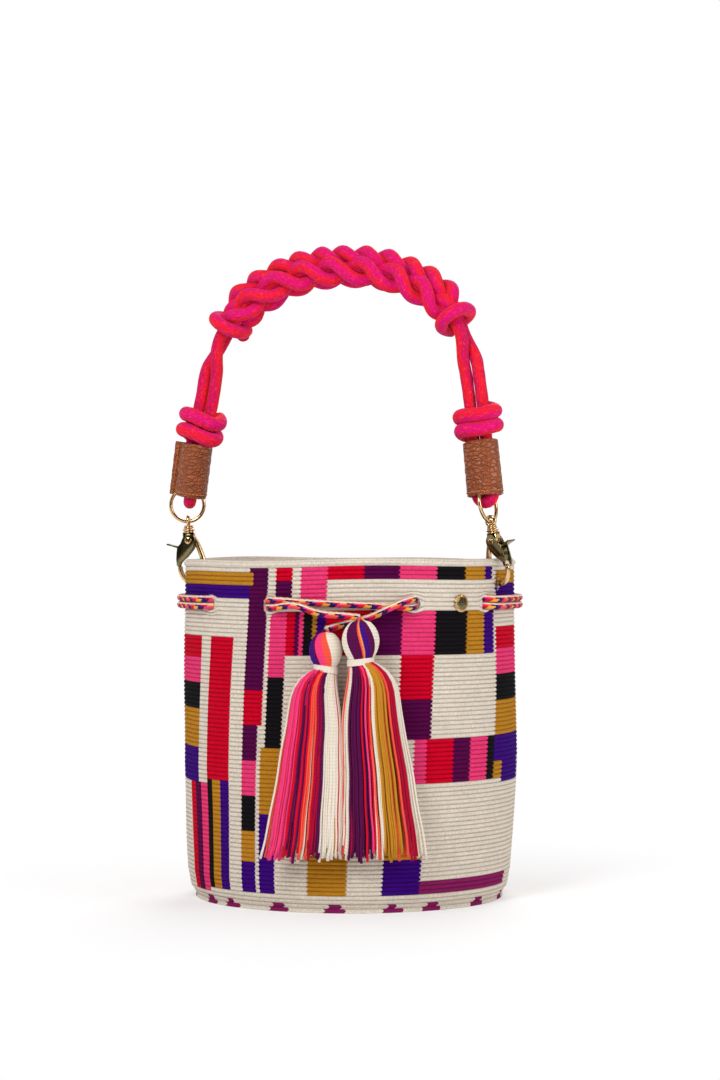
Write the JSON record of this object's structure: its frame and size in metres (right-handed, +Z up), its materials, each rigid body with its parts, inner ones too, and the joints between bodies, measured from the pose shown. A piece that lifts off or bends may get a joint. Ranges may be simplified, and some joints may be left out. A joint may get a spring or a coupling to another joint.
{
  "type": "wayuu mochila bag",
  "caption": "Round crocheted shoulder bag with coloured blocks, a drawstring with tassels, and a knotted rope handle held by snap hooks.",
  "frame": {"origin": "centre of the flat base, on the surface that the bag stands on", "axes": "+Z up through the mouth, -Y towards the front with the tassels, +X to the right seen from the front"},
  "size_m": [0.2506, 0.2661, 0.4484],
  "materials": {
    "crochet": "tight cotton crochet in beige with blocks of red, pink, plum, black, gold and violet",
    "braided_cord": "multicolour flat cotton braid with pale edges",
    "tassel_yarn": "twisted cotton yarns in several colours",
    "binding_thread": "cream cotton thread wound tight",
    "soft_rope": "soft twisted rope mottled magenta and orange red",
    "brown_leather": "pebbled brown leather with stitched seam",
    "pale_gold": "polished pale gold plating",
    "olive_gold": "polished plating that mirrors a dark surround",
    "spring_steel": "bare spring wire"
  },
  "bodies": {
    "bag": {"bag_body": "crochet", "drawstring": "braided_cord", "rivet_cap": "pale_gold", "rivet_back": "pale_gold"},
    "left_tassel_hang": {"left_tassel": "tassel_yarn", "left_tassel_binding": "binding_thread"},
    "right_tassel_hang": {"right_tassel": "tassel_yarn", "right_tassel_binding": "binding_thread"},
    "handle": {"core_rope": "soft_rope", "knotting_rope": "soft_rope", "left_end_wrap": "soft_rope", "right_end_wrap": "soft_rope", "left_rope_wrap": "soft_rope", "right_rope_wrap": "soft_rope", "left_sleeve": "brown_leather", "right_sleeve": "brown_leather", "left_swivel_eye": "pale_gold", "right_swivel_eye": "pale_gold"},
    "left_ring_turning": {"left_ring": "pale_gold"},
    "left_snap": {"left_hook": "pale_gold", "left_trigger_screw": "pale_gold", "left_trigger_spring": "spring_steel"},
    "left_gate": {"left_trigger": "olive_gold"},
    "right_ring_turning": {"right_ring": "pale_gold"},
    "right_snap": {"right_hook": "pale_gold", "right_trigger_screw": "pale_gold", "right_trigger_spring": "spring_steel"},
    "right_gate": {"right_trigger": "olive_gold"}
  },
  "joints": [
    {"name": "handle_swing", "type": "hinge", "parent": "bag", "child": "handle", "pos_m": [-0.11217, 0.01978, 0.218], "axis": [0.9455, -0.3256, 0], "range_deg": [-12, 12]},
    {"name": "left_tassel_swing", "type": "hinge", "parent": "bag", "child": "left_tassel_hang", "pos_m": [-0.0154, -0.1277, 0.186], "axis": [-1, 0, 0], "range_deg": [0, 50]},
    {"name": "right_tassel_swing", "type": "hinge", "parent": "bag", "child": "right_tassel_hang", "pos_m": [0.0074, -0.1341, 0.194], "axis": [-1, 0, 0], "range_deg": [0, 50]},
    {"name": "left_ring_turn", "type": "hinge", "parent": "handle", "child": "left_ring_turning", "pos_m": [-0.11513, 0.0208, 0.27226], "axis": [-0.0005, -0.9998, 0.0187], "continuous": true},
    {"name": "left_hook_swivel", "type": "hinge", "parent": "handle", "child": "left_snap", "pos_m": [-0.11375, 0.02032, 0.24695], "axis": [-0.0544, 0.0187, 0.9983], "range_deg": [-4, 4]},
    {"name": "left_trigger_press", "type": "hinge", "parent": "left_snap", "child": "left_gate", "pos_m": [-0.11375, 0.02032, 0.24695], "axis": [-0.1739, -0.9847, 0.009], "range_deg": [0, 10], "stiffness_Nm_per_rad": 0.05, "springref_deg": -17.19},
    {"name": "right_ring_turn", "type": "hinge", "parent": "handle", "child": "right_ring_turning", "pos_m": [0.09404, -0.05361, 0.27135], "axis": [0.849, -0.4941, 0.1873], "continuous": true},
    {"name": "right_hook_swivel", "type": "hinge", "parent": "handle", "child": "right_snap", "pos_m": [0.09861, -0.05518, 0.24647], "axis": [-0.1804, 0.0621, 0.9816], "range_deg": [-4, 4]},
    {"name": "right_trigger_press", "type": "hinge", "parent": "right_snap", "child": "right_gate", "pos_m": [0.09861, -0.05518, 0.24647], "axis": [0.7232, 0.6848, 0.0896], "range_deg": [0, 4], "stiffness_Nm_per_rad": 0.05, "springref_deg": -17.19}
  ]
}
